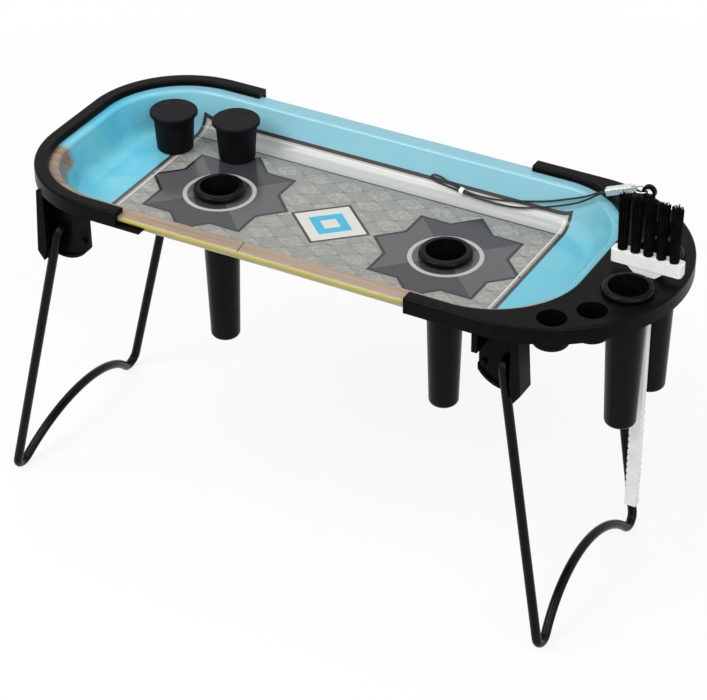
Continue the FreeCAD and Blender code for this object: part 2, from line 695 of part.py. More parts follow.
drawn(right, "Pocket", "socket_bores", "socket_depth",
      [(x, y, "socket_r") for x, y in SOCKETS], offset="frame_top_z")
drawn(right, "Pocket", "cup_recesses", "cup_recess",
      [("end_cup_x", sign + "end_cup_y", "end_recess_r") for sign in ("", "-")], offset="frame_top_z")
drawn(right, "Pocket", "cup_bores", "frame_h",
      [("end_cup_x", sign + "end_cup_y", "end_hole_r") for sign in ("", "-")], offset="frame_top_z")
drawn(right, "Pocket", "brush_slot", "frame_h",
      [box_outline("slot_in_x", "slot_out_x", "-slot_half_wid", "slot_half_wid")], offset="frame_top_z")
cut_check(right, "shelf holes", full)
fillet(right, "right_edge_round", "edge_round", top_edge)
place(right)

# Wire legs: two pins turned inward, uprights, tight feet and an arched crossbar, drawn in the leg's own plane
for name, lean in (("left", 1), ("right", -1)):
    leg = new_body(name + "_leg")
    foot, blend = f"{name}_foot_z", f"{name}_blend_z"
    path = [
        ("-pin_tip", "0"), ("-pin_start", "0", "pin_bend", 1), ("-leg_half_wid", "-pin_bend"),
        ("-leg_half_wid", foot, "foot_bend", 1), ("-blend_y", blend, "arch_radius", -1),
        ("blend_y", blend, "foot_bend", 1), ("leg_half_wid", foot), ("leg_half_wid", "-pin_bend", "pin_bend", 1),
        ("pin_start", "0"), ("pin_tip", "0")]
    sweep(leg, name + "_leg_rod", ([("0", "0", "wire_r")], "XZ_Plane", "pin_tip"), (path, "YZ_Plane"), False)
    leg.Placement = Placement(Vector(0, 0, 0), Rotation(Vector(0, lean, 0), num(name + "_stance")))
    leg.setExpression("Placement.Rotation.Angle", link(name + "_stance") + " * 1 deg")
    place(leg, "-pivot_x" if lean > 0 else "pivot_x", "0", "pivot_z")

# Cups: tapered tubes that hang by a rolled rim
CUPS = (
    ("centre_cup_left", "cup", "-cup_x", "0", "cup_z"), ("centre_cup_right", "cup", "cup_x", "0", "cup_z"),
    ("end_cup_front", "end", "end_cup_x", "-end_cup_y", "end_cup_z"),
    ("end_cup_rear", "end", "end_cup_x", "end_cup_y", "end_cup_z"),
)
for name, kind, x, y, z in CUPS:
    cup = new_body(name)
    half = f"{kind}_rim_half"
    revolve(cup, name + "_section", [
        (f"{kind}_top_r", "0"), (f"{kind}_rim_flat", "0", half, 1), (f"{kind}_rim_r", half, half, 1),
        (f"{kind}_rim_flat", f"{kind}_rim_h"), (f"{kind}_mouth_r", f"{kind}_rim_h"), (f"{kind}_bore_r", "-funnel_h"),
        (f"{kind}_bore_tip_r", f"{kind}_bore_z"), ("0", f"{kind}_bore_z"), ("0", f"-{kind}_depth"),
        (f"{kind}_tip_flat", f"-{kind}_depth", "cup_tip_round", 1), (f"{kind}_tip_r", f"{kind}_tip_z")])
    place(cup, x, y, z)

# Stoppers: flanged tapered plugs standing on the pan's floor
for name in ("left", "right"):
    stopper = new_body("stopper_" + name)
    revolve(stopper, f"stopper_{name}_section", [
        ("0", "0"), ("stopper_tip_flat", "0", "stopper_round", 1), ("stopper_tip_r", "stopper_round"),
        ("stopper_top_r", "stopper_neck_z"), ("stopper_flange_r", "stopper_neck_z"),
        ("stopper_flange_r", "stopper_edge_z", "stopper_edge", 1), ("stopper_flat", "stopper_h"), ("0", "stopper_h")])
    place(stopper, f"-stopper_{name}_x", f"stopper_{name}_y", "cup_z")

# Brush: ridged handle through the slot, flared neck on the shelf and a head with tuft holes
brush = new_body("brush_handle")
drawn(brush, "Pad", "handle", "handle_len",
      [box_outline("-handle_half", "handle_half", "-handle_side", "handle_side")], backward=True)
drawn(brush, "Pad", "neck", "neck_d", [[
    ("-neck_half", "0"), ("neck_half", "0"), ("neck_top_half", "neck_h"), ("-neck_top_half", "neck_h")]],
    "XZ_Plane", "-neck_side")
drawn(brush, "Pad", "head", "head_h",
      [box_outline("-head_half", "head_half", "-head_side", "head_side")], offset="neck_h")
fillet(brush, "head_corners", "head_round",
       lambda edge: abs(edge.BoundBox.ZMax - edge.BoundBox.ZMin - num("head_h")) < 1e-4)
full = brush.Shape.Volume
hole = drawn(brush, "Pocket", "tuft_hole", "tuft_socket", [("-tuft_first", "0", "tuft_hole_r")], offset="head_top")
cut_check(brush, "tuft_hole", full)
full = brush.Shape.Volume
row = brush.newObject("PartDesign::LinearPattern", "tuft_holes")
row.Originals = [hole]
row.Direction = (hole.Profile[0], ["H_Axis"])
row.setExpression("Length", link("tuft_span"))
row.setExpression("Occurrences", link("tuft_count"))
brush.Tip = row
cut_check(brush, "tuft_holes", full)
full = brush.Shape.Volume
notch = drawn(brush, "Pocket", "ridge_notch", "head_d",
              [("ridge_x", "-ridge_start", "ridge_r"), ("-ridge_x", "-ridge_start", "ridge_r")], "XZ_Plane", "head_side")
cut_check(brush, "ridge_notch", full)
grip = brush.newObject("PartDesign::LinearPattern", "ridge_notches")
grip.Originals = [notch]
grip.Direction = (notch.Profile[0], ["V_Axis"])
grip.setExpression("Length", link("ridge_span"))
grip.setExpression("Occurrences", link("ridge_count"))
brush.Tip = grip
place(brush, "brush_x", "0", "handle_z")

# Bristle tufts, one in each hole of the head
tufts = []
for i in range(int(num("tuft_count"))):
    tuft = doc.addObject("Part::Cone", f"brush_tuft_{i + 1}")
    tuft.Label = tuft.Name
    tuft.setExpression("Radius1", "sizes.tuft_dia / 2")
    tuft.setExpression("Radius2", "sizes.tuft_tip_dia / 2")
    tuft.setExpression("Height", "sizes.tuft_len + sizes.tuft_socket")
    tuft.setExpression("Placement.Base.x", f"derived.brush_x - derived.middle_x - derived.tuft_first + {i} * sizes.tuft_pitch")
    tuft.setExpression("Placement.Base.z", "derived.tuft_z")
    tufts.append(tuft)

# Lanyard plug in the rear outer socket, with an eyelet on its neck
plug = new_body("lanyard_plug")
revolve(plug, "plug_section", [
    ("0", "0"), ("plug_r", "0"), ("plug_r", "plug_h"), ("plug_neck_r", "plug_h"),
    ("plug_neck_r", "eyelet_neck_z"), ("0", "eyelet_neck_z")])
drawn(plug, "Pad", "eyelet", "eyelet_thick", [("0", "eyelet_z", "eyelet_r")], "XZ_Plane", "-eyelet_side")
doc.recompute()
full = plug.Shape.Volume
drawn(plug, "Pocket", "eyelet_hole", "plug_dia", [("0", "eyelet_z", "eyelet_bore_r")], "XZ_Plane", "plug_r")
cut_check(plug, "eyelet_hole", full)
place(plug, "outer_socket_x", "outer_socket_y", "plug_z")

# Ring through the eyelet
loop = doc.addObject("Part::Torus", "lanyard_ring")
loop.Label = loop.Name
loop.setExpression("Radius1", "derived.ring_r")
loop.setExpression("Radius2", "derived.ring_wire_r")
place(loop, "ring_x", "outer_socket_y", "ring_z")

# Crimp: a tab on the ring and a sleeve with a mouth for the two strands
crimp = new_body("lanyard_crimp")
drawn(crimp, "Pad", "sleeve", "crimp_h",
      [box_outline("-crimp_end", "-crimp_start", "-crimp_side", "crimp_side")], offset="-crimp_half_h")
fillet(crimp, "sleeve_round", "crimp_round", lambda edge: edge.Length > num("crimp_len") - 0.1)
drawn(crimp, "Pad", "tab", "ring_wire", [("0", "0", "tab_r")], "XZ_Plane", "-tab_side")
doc.recompute()
full = crimp.Shape.Volume
drawn(crimp, "Pocket", "tab_hole", "ring_dia", [("0", "0", "tab_bore_r")], "XZ_Plane", "crimp_side")
cut_check(crimp, "tab_hole", full)
full = crimp.Shape.Volume
drawn(crimp, "Pocket", "mouth", "mouth_depth",
      [box_outline("-mouth_side", "mouth_side", "-mouth_half_h", "mouth_half_h")], "YZ_Plane", "-crimp_end", True)
cut_check(crimp, "mouth", full)
tilt = Rotation(Vector(0, 0, 1), num("crimp_yaw")).multiply(Rotation(Vector(0, 1, 0), -num("crimp_pitch")))
crimp.Placement = Placement(Vector(0, 0, 0), tilt)
place(crimp, "tab_x", "outer_socket_y", "ring_z")

# Cord: one length doubled through the bead, both ends in the crimp
# Its points lie along the pan's rear wall, measured from the plug's axis, the wall's foot and the pan's floor
TO_BEAD = [
    (-38.5, 3.6, 22.6), (-50.5, 4.6, 16.9), (-64.2, 3.4, 12.0), (-76.7, 2.2, 9.2), (-88.7, 0.8, 6.9),
    (-99.7, 0.0, 5.8), (-109.2, -0.3, 5.7), (-115.0, 0.15, 6.2),
]
ROUND_FOLD = [
    (-120.6, 0.55, 6.8), (-127.2, 1.6, 8.2), (-133.7, 3.0, 10.0), (-139.1, 3.0, 10.4), (-140.1, 1.6, 7.9),
    (-134.2, 0.9, 6.9), (-127.2, 0.1, 6.3), (-120.6, -0.75, 6.2),
]
FROM_BEAD = [
    (-115.0, -1.15, 5.6), (-109.2, -1.4, 5.0), (-99.7, -1.3, 4.5), (-90.2, -1.1, 4.4), (-78.7, -0.4, 5.4),
    (-66.7, 1.2, 8.4), (-53.0, 2.6, 12.9), (-40.5, 2.2, 19.0),
]
lie_start = Vector(num("outer_socket_x"), num("foot_wid"), num("floor_height"))
crimp_spot = Vector(num("tab_x"), num("outer_socket_y"), num("ring_z"))


def strand_end(side, reach):
    return crimp_spot + tilt.multVec(Vector(-reach, side * num("strand"), 0))


def lying(route):
    return [lie_start + Vector(*spot) for spot in route]


inside, outside = num("crimp_end") - num("mouth_depth") * 0.8, num("crimp_end") + num("cord_dia") * 3
to_bead, round_fold, from_bead = lying(TO_BEAD), lying(ROUND_FOLD), lying(FROM_BEAD)
strands = [strand_end(1, inside), strand_end(1, outside)] + to_bead + round_fold + from_bead
strands += [strand_end(-1, outside), strand_end(-1, inside)]


def tube(spots, radius):
    """Round tube along straight runs joined by tangent arcs; returns it with its length and tightest arc."""
    edges = []
    tail = spots[0]
    tightest = 1e9
    for before, corner, after in zip(spots, spots[1:], spots[2:]):
        back, ahead = before - corner, after - corner
        reach = 0.45 * min(back.Length, ahead.Length)
        turn = math.pi - back.getAngle(ahead)
        arc_radius = reach / math.tan(turn / 2)
        tightest = min(tightest, arc_radius)
        middle = (Vector(back).normalize() + Vector(ahead).normalize()).normalize()
        start, end = corner + Vector(back).normalize() * reach, corner + Vector(ahead).normalize() * reach
        crown = corner + middle * (arc_radius / math.cos(turn / 2) - arc_radius)
        edges.append(Part.LineSegment(tail, start).toShape())
        edges.append(Part.Arc(start, crown, end).toShape())
        tail = end
    edges.append(Part.LineSegment(tail, spots[-1]).toShape())
    wire = Part.Wire(edges)
    profile = Part.Wire(Part.Circle(spots[0], spots[1] - spots[0], radius).toShape())
    return wire.makePipeShell([profile], True, False), wire.Length, tightest


cord = doc.addObject("Part::Feature", "lanyard_cord")
cord.Label = cord.Name
cord.Shape, cord_length, cord_bend = tube(strands, num("cord_dia") / 2)
section_volume = math.pi * num("cord_dia") ** 2 / 4 * cord_length
place(cord)
print(f"cord length {cord_length:.1f}, tightest arc {cord_bend:.2f}, volume {cord.Shape.Volume / section_volume:.4f}")

# Bead on both strands
bead = new_body("lanyard_bead")
revolve(bead, "bead_section", [
    ("bead_bore_r", "-bead_half"), ("bead_r", "-bead_half"), ("bead_r", "bead_half"), ("bead_bore_r", "bead_half")])
near, far = to_bead[-1] + from_bead[0], round_fold[0] + round_fold[-1]
centre = (near + far) * 0.25 - Vector(num("middle_x"), 0, 0)
bead.Placement = Placement(centre, Rotation(Vector(0, 0, 1), far - near))

# Checks, then one file for each piece
doc.recompute()
pieces = [item for item in doc.Objects if item.TypeId == "PartDesign::Body"] + tufts + [loop, cord]
for item in doc.Objects:
    if {"Invalid", "Error"} & set(item.State):
        raise RuntimeError(f"{item.Label}: {item.State}")
for item in pieces:
    if item.Shape.isNull() or not item.Shape.isValid() or len(item.Shape.Solids) != 1:
        raise RuntimeError(f"{item.Label}: shape is not one valid solid")
os.makedirs("parts", exist_ok=True)
for item in pieces:
    item.Shape.exportStep(f"parts/{item.Label}.step")
print(len(pieces), "pieces written")
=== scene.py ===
"""Looks of the folding-leg tray: camera, cord, procedural materials, bristles, floor and studio light."""
import bpy
import math
import random
from mathutils import Matrix, Vector


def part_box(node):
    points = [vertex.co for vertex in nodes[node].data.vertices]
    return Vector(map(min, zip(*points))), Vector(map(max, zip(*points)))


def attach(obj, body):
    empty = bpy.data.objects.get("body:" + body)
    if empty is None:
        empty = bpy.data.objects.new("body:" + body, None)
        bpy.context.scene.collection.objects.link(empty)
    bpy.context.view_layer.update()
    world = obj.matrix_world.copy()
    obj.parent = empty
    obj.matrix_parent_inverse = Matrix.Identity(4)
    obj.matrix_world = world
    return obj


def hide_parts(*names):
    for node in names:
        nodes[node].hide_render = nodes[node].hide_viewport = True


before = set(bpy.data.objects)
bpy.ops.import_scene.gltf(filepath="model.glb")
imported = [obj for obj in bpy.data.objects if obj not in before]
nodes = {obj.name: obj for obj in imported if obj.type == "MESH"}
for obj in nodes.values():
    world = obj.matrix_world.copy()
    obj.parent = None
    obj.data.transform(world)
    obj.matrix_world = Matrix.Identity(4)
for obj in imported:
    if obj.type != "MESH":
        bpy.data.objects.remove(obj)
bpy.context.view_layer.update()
scene = bpy.context.scene
MM = 0.001

# Places in the part's frame, in millimetres
PAN_X = -11.89
FLOOR_Z = 206.0
CUP_X = 76.5
CRIMP_EYE = (152.64, 64.72, 242.8)
CRIMP_AXIS = (-0.9339, -0.1479, -0.3256)
RIB_PITCH = 1.0

# Print on the pan, in millimetres from its middle
PANEL_HALF = 127.0
PANEL_FRONT = 59.0
PANEL_REAR = 65.0
REAR_BAND = 52.0
TILE = 21.0
TILE_SLANT = 1.5
STAR_HALF = 33.0
STAR_RING = 21.0
GEM_STEPS = ((27.0, (46, 46, 49)), (24.5, (206, 206, 199)), (15.0, (54, 170, 205)), (7.0, (206, 206, 199)))
EDGE = 0.3

# Camera at the photograph's viewing angle
IMAGE_WIDTH = 707
SENSOR = 36.0
FOCAL_PX = 2523.1
AZIMUTH, ELEVATION, ROLL = (math.radians(angle) for angle in (29.34, 34.28, -0.57))
TARGET = Vector((76.17 + PAN_X, -109.17, FLOOR_Z)) * MM
DISTANCE = 1.37857
ahead = -Vector((math.sin(AZIMUTH) * math.cos(ELEVATION), -math.cos(AZIMUTH) * math.cos(ELEVATION),
                 math.sin(ELEVATION)))
level = ahead.cross(Vector((0, 0, 1))).normalized()
rise = level.cross(ahead)
right = level * math.cos(ROLL) + rise * math.sin(ROLL)
up = rise * math.cos(ROLL) - level * math.sin(ROLL)
spot = TARGET - ahead * DISTANCE
camera_data = bpy.data.cameras.new("camera")
camera_data.sensor_width = SENSOR
camera_data.lens = FOCAL_PX * SENSOR / IMAGE_WIDTH
camera_data.clip_start = 0.01
camera = bpy.data.objects.new("camera", camera_data)
camera.matrix_world = Matrix((
    (right.x, up.x, -ahead.x, spot.x), (right.y, up.y, -ahead.y, spot.y),
    (right.z, up.z, -ahead.z, spot.z), (0, 0, 0, 1)))
scene.collection.objects.link(camera)
scene.camera = camera

# Lanyard cord: the route's points as one smooth spline
CORD_DIAMETER = 1.2
ROUTE = [
    (142.39, 63.85, 239.27), (133.06, 62.37, 236.01), (123.29, 65.00, 228.60), (111.29, 66.00, 222.90),
    (97.59, 64.80, 218.00), (85.09, 63.60, 215.20), (73.09, 62.20, 212.90), (62.09, 61.40, 211.80),
    (52.59, 61.10, 211.70), (46.79, 61.55, 212.20), (41.19, 61.95, 212.80), (34.59, 63.00, 214.20),
    (28.09, 64.40, 216.00), (22.69, 64.40, 216.40), (21.69, 63.00, 213.90), (27.59, 62.30, 212.90),
    (34.59, 61.50, 212.30), (41.19, 60.65, 212.20), (46.79, 60.25, 211.60), (52.59, 60.00, 211.00),
    (62.09, 60.10, 210.50), (71.59, 60.30, 210.40), (83.09, 61.00, 211.40), (95.09, 62.60, 214.40),
    (108.79, 64.00, 218.90), (121.29, 63.60, 225.00), (133.29, 60.90, 236.01), (142.63, 62.38, 239.27),
]
curve = bpy.data.curves.new("cord_line", "CURVE")
curve.dimensions = "3D"
curve.bevel_depth = 1.0
curve.bevel_resolution = 3
curve.resolution_u = 8
curve.use_fill_caps = True
spline = curve.splines.new("NURBS")
spline.points.add(len(ROUTE) - 1)
for point, place in zip(spline.points, ROUTE):
    point.co = (*(value * MM for value in place), 1.0)
    point.radius = CORD_DIAMETER / 2 * MM
spline.order_u = 3
spline.use_endpoint_u = True
cord = bpy.data.objects.new("cord", curve)
scene.collection.objects.link(cord)
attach(cord, "lanyard")
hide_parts("lanyard_cord")


def rgb(red, green, blue):
    """Screen colour (0 to 255) as a shader colour."""
    shares = [value / 255 for value in (red, green, blue)]
    return (*(v / 12.92 if v <= 0.04045 else ((v + 0.055) / 1.055) ** 2.4 for v in shares), 1.0)


class Field:
    """A shader value with arithmetic, for drawing masks."""

    def __init__(self, tree, socket):
        self.tree = tree
        self.socket = socket

    def op(self, kind, *others):
        node = self.tree.nodes.new("ShaderNodeMath")
        node.operation = kind
        for slot, value in zip(node.inputs, (self, *others)):
            if isinstance(value, Field):
                self.tree.links.new(value.socket, slot)
            else:
                slot.default_value = value
        return Field(self.tree, node.outputs[0])

    def __add__(self, other):
        return self.op("ADD", other)

    def __sub__(self, other):
        return self.op("SUBTRACT", other)

    def __mul__(self, other):
        return self.op("MULTIPLY", other)

    def __abs__(self):
        return self.op("ABSOLUTE")

    def high(self, other):
        return self.op("MAXIMUM", other)

    def low(self, other):
        return self.op("MINIMUM", other)

    def ramp(self, start, end):
        """Smooth climb from 0 at start to 1 at end; a falling one where end is less than start."""
        node = self.tree.nodes.new("ShaderNodeMapRange")
        node.interpolation_type = "SMOOTHSTEP"
        falls = end < start
        node.inputs["From Min"].default_value = min(start, end)
        node.inputs["From Max"].default_value = max(start, end)
        node.inputs["To Min"].default_value = 1.0 if falls else 0.0
        node.inputs["To Max"].default_value = 0.0 if falls else 1.0
        self.tree.links.new(self.socket, node.inputs["Value"])
        return Field(self.tree, node.outputs["Result"])


class Look:
    """One procedural material with fields of place in millimetres."""

    def __init__(self, name, roughness, specular=0.5, metallic=0.0, coat=0.0, coat_roughness=0.1):
        self.material = bpy.data.materials.new(name)
        self.material.use_nodes = True
        self.tree = self.material.node_tree
        self.shader = self.tree.nodes["Principled BSDF"]
        self.roughness = roughness
        self.shader.inputs["Specular IOR Level"].default_value = specular
        self.shader.inputs["Metallic"].default_value = metallic
        self.shader.inputs["Coat Weight"].default_value = coat
        self.shader.inputs["Coat Roughness"].default_value = coat_roughness
        where = self.tree.nodes.new("ShaderNodeTexCoord")
        self.place = where.outputs["Object"]
        split = self.tree.nodes.new("ShaderNodeSeparateXYZ")
        self.tree.links.new(self.place, split.inputs[0])
        self.x, self.y, self.z = (Field(self.tree, socket) * 1000.0 for socket in split.outputs)
        facing = self.tree.nodes.new("ShaderNodeSeparateXYZ")
        self.tree.links.new(where.outputs["Normal"], facing.inputs[0])
        self.rise = Field(self.tree, facing.outputs["Z"])

    def noise(self, grain, detail=3.0):
        """Noise from about 0 to 1 with grains of the given size in millimetres."""
        node = self.tree.nodes.new("ShaderNodeTexNoise")
        node.inputs["Scale"].default_value = 1000.0 / grain
        node.inputs["Detail"].default_value = detail
        self.tree.links.new(self.place, node.inputs["Vector"])
        return Field(self.tree, node.outputs["Fac"])

    def stripes(self, across, along):
        """Streaks along X, of the given width and length in millimetres."""
        grid = self.tree.nodes.new("ShaderNodeMapping")
        grid.inputs["Scale"].default_value = (1000.0 / along, 1000.0 / across, 1000.0 / across)
        self.tree.links.new(self.place, grid.inputs["Vector"])
        node = self.tree.nodes.new("ShaderNodeTexNoise")
        node.inputs["Scale"].default_value = 1.0
        node.inputs["Detail"].default_value = 5.0
        self.tree.links.new(grid.outputs["Vector"], node.inputs["Vector"])
        return Field(self.tree, node.outputs["Fac"])

    def mix(self, mask, first, second):
        node = self.tree.nodes.new("ShaderNodeMix")
        node.data_type = "RGBA"
        self.tree.links.new(mask.socket, node.inputs[0])
        for slot, value in ((node.inputs[6], first), (node.inputs[7], second)):
            if isinstance(value, tuple):
                slot.default_value = value
            else:
                self.tree.links.new(value, slot)
        return node.outputs[2]

    def finish(self, colour, grain, bump, spread, height=None):
        """Links the colour, an uneven roughness and a fine bump of the given depth in millimetres."""
        speckle = self.noise(grain)
        self.tree.links.new(colour, self.shader.inputs["Base Color"])
        gloss = speckle * spread + (self.roughness - spread / 2)
        self.tree.links.new(gloss.socket, self.shader.inputs["Roughness"])
        relief = speckle * bump if height is None else height + speckle * bump
        node = self.tree.nodes.new("ShaderNodeBump")
        node.inputs["Strength"].default_value = 1.0
        node.inputs["Distance"].default_value = MM
        self.tree.links.new(relief.socket, node.inputs["Height"])
        self.tree.links.new(node.outputs["Normal"], self.shader.inputs["Normal"])
        return self.material


def dress(material, *names):
    for name in names:
        for slot in nodes[name].material_slots:
            slot.material = material


def wood_band(look, x, y, z, cloud, streak):
    """Mask and colour of the wood along the front wall and the left front corner."""
    ragged = y + cloud * 8.0 - 4.0
    corner = ragged.ramp(-26.0, -34.0) * (z + streak * 4.0).ramp(12.0, 17.0)
    front = corner.high(ragged.ramp(-56.0, -62.0)) * (x + cloud * 10.0).ramp(172.0, 160.0)
    planks = look.stripes(3.0, 60.0)
    wood = look.mix(planks.ramp(0.3, 0.7), rgb(122, 98, 80), rgb(158, 136, 115))
    wood = look.mix((x + cloud * 120.0).ramp(-90.0, 90.0) * 0.5, wood, rgb(174, 156, 136))
    joint = abs(x + y * 0.15 + 26.0).ramp(0.5, 0.2).high(abs(x - y * 0.1 - 128.0).ramp(0.5, 0.2))
    return front, look.mix(joint, wood, rgb(58, 48, 42))


def tile_colour(look, x, y):
    """Silver tiles with dark seams, and a plain band along the rear."""
    slant = y * TILE_SLANT
    tile = ((x + slant) * (math.pi / TILE)).op("SINE") * ((x - slant) * (math.pi / TILE)).op("SINE")
    silver = look.mix(tile.ramp(-0.05, 0.05), rgb(150, 150, 145), rgb(172, 171, 164))
    brushed = look.noise(2.2, 5.0)
    silver = look.mix(brushed.ramp(0.2, 0.9), rgb(134, 134, 130), silver)
    seam = abs(tile).ramp(0.06, 0.02)
    silver = look.mix(seam * 0.6, silver, rgb(104, 104, 102))
    silver = look.mix(y.ramp(REAR_BAND - 0.4, REAR_BAND + 0.4), silver, rgb(176, 178, 176))
    return look.mix(abs(y - REAR_BAND).ramp(0.9, 0.5), silver, rgb(84, 84, 84))


def tile_panel(look, x, y):
    """Mask and colour of the tile panel, with a star round each cup, a gem between them and a double border."""
    edge = (abs(x) - PANEL_HALF).high(y * -1.0 - PANEL_FRONT).high((y - PANEL_REAR) * 2.3)
    across = abs(x) - CUP_X
    wide, deep = abs(across), abs(y)
    star = (wide.high(deep) - STAR_HALF).low((wide + deep) * math.sqrt(0.5) - STAR_HALF)
    facet = (wide - deep).ramp(-0.4, 0.4)
    dark = look.mix(facet, rgb(58, 58, 62), rgb(84, 84, 86))
    art = look.mix(star.ramp(EDGE, -EDGE), tile_colour(look, x, y), dark)
    art = look.mix(abs(star).ramp(1.2, 0.8), art, rgb(38, 38, 41))
    reach = (across * across + y * y).op("SQRT")
    art = look.mix(abs(reach - STAR_RING).ramp(1.5, 1.1), art, rgb(178, 177, 170))
    gem = abs(x) + deep * 1.1
    for half, tone in GEM_STEPS:
        art = look.mix(gem.ramp(half + EDGE, half - EDGE), art, rgb(*tone))
    art = look.mix(abs(edge + 1.2).ramp(1.4, 1.0), art, rgb(62, 60, 58))
    art = look.mix(abs(edge + 4.4).ramp(0.7, 0.4), art, rgb(208, 205, 198))
    return edge.ramp(EDGE, -EDGE), art


def pan_look():
    """Glossy sky-blue lacquer with wood, tile panel and olive front edge, plain blue underneath, and a paler
    rear painted in as painted light and sheen.
    """
    look = Look("pan_lacquer_look", 0.2, specular=0.3, coat=0.15, coat_roughness=0.06)
    x, y, z = look.x - PAN_X, look.y, look.z - FLOOR_Z
    cloud = look.noise(70.0, 3.0)
    streak = look.noise(26.0, 4.0)
    coat = look.mix(streak.ramp(0.38, 0.66), rgb(86, 186, 214), rgb(114, 196, 213))
    colour = look.mix((x + cloud * 90.0).ramp(-150.0, 40.0) * 0.6, coat, rgb(114, 186, 201))
    # Painted light and sheen: the rear wall and flange are paler and greyer, where they face the lamps.
    colour = look.mix(y.ramp(40.0, 74.0) * 0.75, colour, rgb(140, 184, 196))
    colour = look.mix(x.ramp(120.0, 180.0) * 0.6, colour, rgb(102, 184, 201))
    front, wood = wood_band(look, x, y, z, cloud, streak)
    colour = look.mix(front, colour, wood)
    panel, art = tile_panel(look, x, y)
    colour = look.mix(panel, colour, art)
    under = look.rise.ramp(-0.02, -0.1) * z.ramp(20.0, 19.0)
    colour = look.mix(under, colour, coat)
    olive = (y.ramp(-78.6, -79.4) * z.ramp(21.5, 20.8)).high(under * y.ramp(-50.0, -58.0))
    edge_paint = look.mix(streak.ramp(0.3, 0.7), rgb(186, 176, 72), rgb(174, 165, 80))
    colour = look.mix(olive, colour, edge_paint)
    return look.finish(colour, 5.0, 0.01, 0.06)


def plain_look(name, dark, light, grain, bump, roughness, spread=0.1, **shader):
    """Moulded or coated surface: two close tones, an even grain and an uneven gloss."""
    look = Look(name, roughness, **shader)
    colour = look.mix(look.noise(grain * 9.0).ramp(0.3, 0.7), dark, light)
    return look.finish(colour, grain, bump, spread)


def stopper_look(name, node):
    """Matte charcoal with a small moulded dimple near the rim of the top."""
    low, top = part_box(node)
    look = Look(name, 0.5, specular=0.08)
    middle = (low + top) * 500.0
    across, along = look.x - (middle.x - 7.0), look.y - (middle.y + 3.0)
    reach = (across * across + along * along).op("SQRT")
    on_top = look.z.ramp(top.z * 1000.0 - 0.6, top.z * 1000.0 - 0.2)
    dimple = abs(reach - 1.6).ramp(0.9, 0.2) * on_top
    colour = look.mix(look.noise(6.0).ramp(0.3, 0.7), rgb(10, 10, 12), rgb(16, 16, 19))
    return look.finish(colour, 0.5, 0.04, 0.1, dimple * 0.5)


def crimp_look():
    """Silver metal with ribs pressed across the crimp, the rib crests painted lighter and the grooves darker as
    painted highlight and shade.
    """
    look = Look("crimp_look", 0.36, metallic=0.75)
    run = sum(((axis - eye) * share for axis, eye, share in
               zip((look.y, look.z), CRIMP_EYE[1:], CRIMP_AXIS[1:])), (look.x - CRIMP_EYE[0]) * CRIMP_AXIS[0])
    ribs_and_painted_shade = (run * (math.tau / RIB_PITCH)).op("SINE").ramp(-0.8, 0.8)
    # Painted highlight and shade: each rib's crest is coloured lighter and its groove darker.
    colour = look.mix(ribs_and_painted_shade, rgb(196, 196, 194), rgb(244, 244, 242))
    return look.finish(colour, 0.6, 0.03, 0.1, ribs_and_painted_shade * 0.12)


dress(pan_look(), "tray_pan")
frame_black = plain_look("frame_plastic_look", rgb(7, 7, 9), rgb(12, 12, 14), 0.7, 0.04, 0.3, 0.1,
                         specular=0.05)
dress(frame_black, "left_end_frame", "right_end_frame", "lanyard_plug")
leg_black = plain_look("leg_coat_look", rgb(7, 7, 8), rgb(11, 11, 13), 0.9, 0.02, 0.24, 0.06, specular=0.1)
dress(leg_black, "left_leg", "right_leg")
cup_black = plain_look("cup_plastic_look", rgb(7, 7, 8), rgb(12, 12, 13), 0.6, 0.03, 0.28, 0.08,
                       specular=0.09)
dress(cup_black, "centre_cup_left", "centre_cup_right", "end_cup_front", "end_cup_rear")
for stopper in ("stopper_left", "stopper_right"):
    dress(stopper_look(stopper + "_look", stopper), stopper)
brush_white = plain_look("brush_plastic_look", rgb(236, 236, 234), rgb(246, 246, 244), 1.5, 0.02, 0.34)
dress(brush_white, "brush_handle")
ring_metal = plain_look("ring_look", rgb(176, 176, 178), rgb(214, 214, 214), 0.5, 0.02, 0.2, metallic=1.0)
dress(ring_metal, "lanyard_ring")
dress(crimp_look(), "lanyard_crimp")
dress(plain_look("bead_look", rgb(232, 232, 228), rgb(246, 246, 242), 0.8, 0.02, 0.28), "lanyard_bead")
cord.data.materials.append(plain_look("cord_look", rgb(16, 16, 17), rgb(34, 34, 36), 0.35, 0.12, 0.75, 0.15))

# Bristle tufts: bundles of tapered fibres in place of the plain cones, in millimetres
FIBRES = 64
FIBRE_SIDES = 5
FIBRE_RINGS = 4
FIBRE_ROOT = 0.34
FIBRE_TIP = 0.24
FIBRE_SWAY = 0.25
TIP_UNEVEN = 2.0
BUNDLE_INSET = 0.35
ROOT_SPREAD = 0.74
GOLDEN_ANGLE = 2.39996


